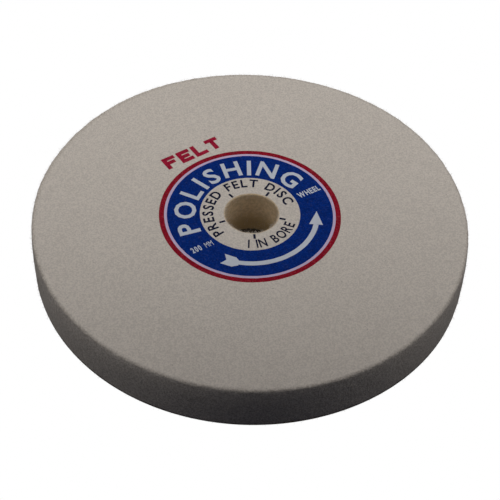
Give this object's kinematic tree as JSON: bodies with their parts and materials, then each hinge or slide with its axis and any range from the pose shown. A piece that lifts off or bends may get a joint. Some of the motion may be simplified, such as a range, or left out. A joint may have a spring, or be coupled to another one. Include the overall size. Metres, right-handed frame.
{
  "type": "felt polishing wheel",
  "caption": "Flat round disc of pressed wool felt with a central arbor bore and printed rings, for polishing stone and metal on a spinning arbor.",
  "frame": {"origin": "centre of the bottom face, on the wheel's axis", "axes": "+Z along the wheel's axis, from the plain bottom face to the printed top face; +Y points to the back of the wheel as it lies printed face up and the rotation arrow's head is at +X"},
  "size_m": [0.2032, 0.2032, 0.024],
  "materials": {
    "wool_felt": "matte",
    "blue_ink": "matte",
    "red_ink": "matte",
    "dark_blue_ink": "matte"
  },
  "bodies": {
    "root": {"felt_disc": "wool_felt", "blue_ink_band": "blue_ink", "red_ink_ring": "red_ink", "red_letter_1_F": "red_ink", "red_letter_2_E": "red_ink", "red_letter_3_L": "red_ink", "red_letter_4_T": "red_ink", "centring_tick_1": "dark_blue_ink", "centring_tick_2": "dark_blue_ink", "centring_tick_3": "dark_blue_ink", "centring_tick_4": "dark_blue_ink", "centring_tick_5": "dark_blue_ink"}
  },
  "joints": []
}
